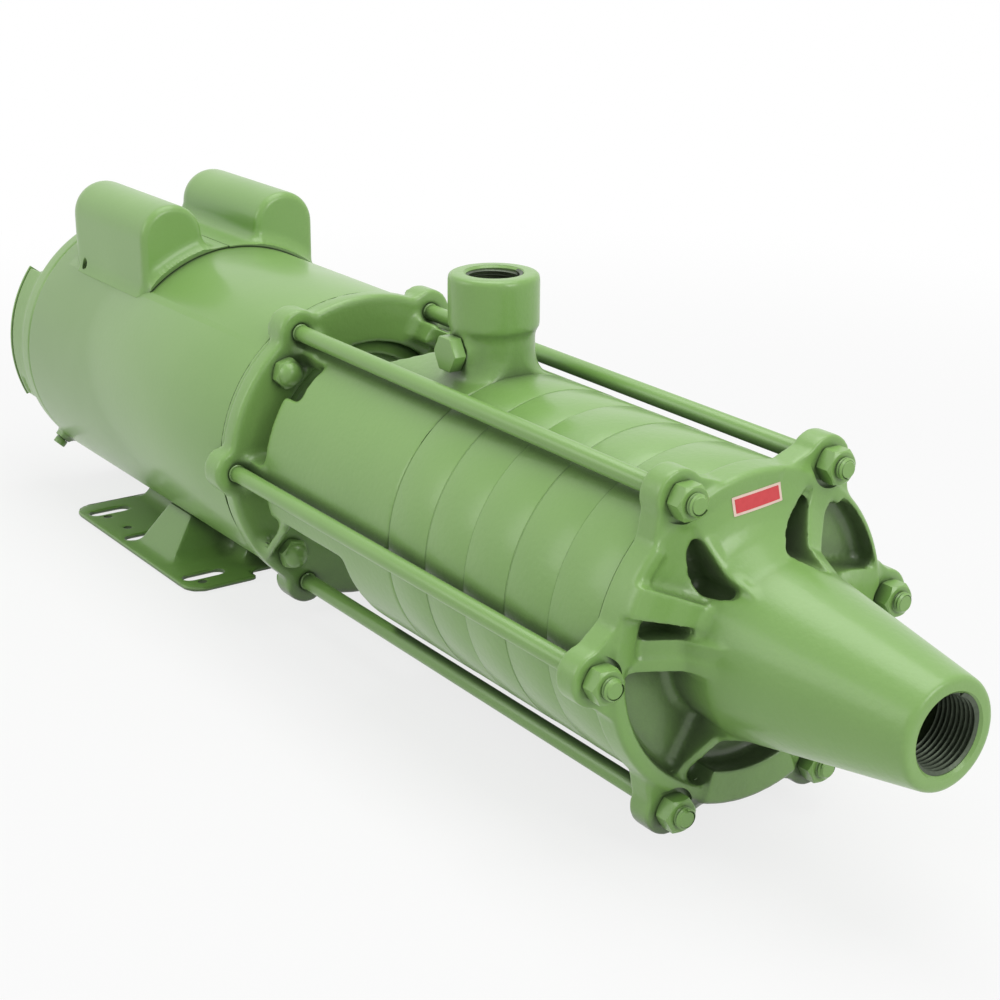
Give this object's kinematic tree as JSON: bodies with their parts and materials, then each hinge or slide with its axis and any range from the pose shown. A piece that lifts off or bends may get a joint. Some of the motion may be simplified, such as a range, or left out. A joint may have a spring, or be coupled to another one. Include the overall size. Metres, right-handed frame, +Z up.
{
  "type": "horizontal multistage pump with electric motor",
  "caption": "Horizontal multistage booster pump: ribbed suction nose, stacked stage rings clamped by long tie rods, top discharge, open lantern, footed electric motor.",
  "frame": {"origin": "centre of the threaded mouth of the suction nose, on the shaft axis", "axes": "+X along the shaft axis out of the suction mouth, away from the motor; +Z up; +Y to the right seen from the motor end towards the nose"},
  "size_m": [0.7243, 0.1818, 0.2067],
  "materials": {
    "green_casting": "glossy green paint over cast iron",
    "green_steel": "glossy green paint over steel",
    "bare_steel": "machined steel",
    "core_steel": "laminated steel under varnish",
    "winding_copper": "enamelled copper wire",
    "brass": "machined bronze",
    "dark_plastic": "moulded engineering plastic",
    "black_plastic": "black moulded plastic",
    "seal_rubber": "black rubber",
    "seal_ceramic": "ground ceramic"
  },
  "bodies": {
    "housing": {"bracket_nuts": "green_steel", "bracket_studs": "green_steel", "capacitor_saddle": "green_steel", "diffuser_1": "dark_plastic", "diffuser_2": "dark_plastic", "diffuser_3": "dark_plastic", "diffuser_4": "dark_plastic", "diffuser_5": "dark_plastic", "discharge_casing": "green_casting", "front_bearing_outer": "bare_steel", "front_endshield": "green_casting", "ground_screw": "green_steel", "interstage_bushes": "brass", "motor_base": "green_steel", "motor_shell": "green_steel", "motor_through_bolts": "green_steel", "priming_plug": "green_steel", "rear_bearing_outer": "bare_steel", "rear_endshield": "green_casting", "run_capacitor": "black_plastic", "run_capacitor_cover": "green_steel", "seal_seat": "seal_ceramic", "stage_casing_1": "green_casting", "stage_casing_2": "green_casting", "stage_casing_3": "green_casting", "stage_casing_4": "green_casting", "stage_casing_5": "green_casting", "stage_gaskets": "seal_rubber", "start_capacitor": "black_plastic", "start_capacitor_cover": "green_steel", "stator_core": "core_steel", "stator_windings": "winding_copper", "suction_cover": "green_casting", "switch_board": "black_plastic", "terminal_cover": "green_steel", "terminal_cover_screws": "green_steel", "tie_rod_nuts": "green_steel", "tie_rods": "green_steel", "wear_rings": "brass"},
    "rotor": {"coupling_set_screws": "bare_steel", "front_bearing_inner": "bare_steel", "governor": "bare_steel", "impeller_1": "dark_plastic", "impeller_2": "dark_plastic", "impeller_3": "dark_plastic", "impeller_4": "dark_plastic", "impeller_5": "dark_plastic", "impeller_6": "dark_plastic", "impeller_key": "bare_steel", "impeller_nut": "bare_steel", "impeller_spacers": "brass", "motor_shaft": "bare_steel", "pump_shaft": "bare_steel", "rear_bearing_inner": "bare_steel", "rotor_core": "core_steel", "seal_head": "seal_rubber", "shaft_coupling": "bare_steel", "slinger": "seal_rubber"}
  },
  "joints": [
    {"name": "rotor_spin", "type": "hinge", "parent": "housing", "child": "rotor", "pos_m": [-0.5588, 0, 0], "axis": [1, 0, 0], "continuous": true}
  ]
}
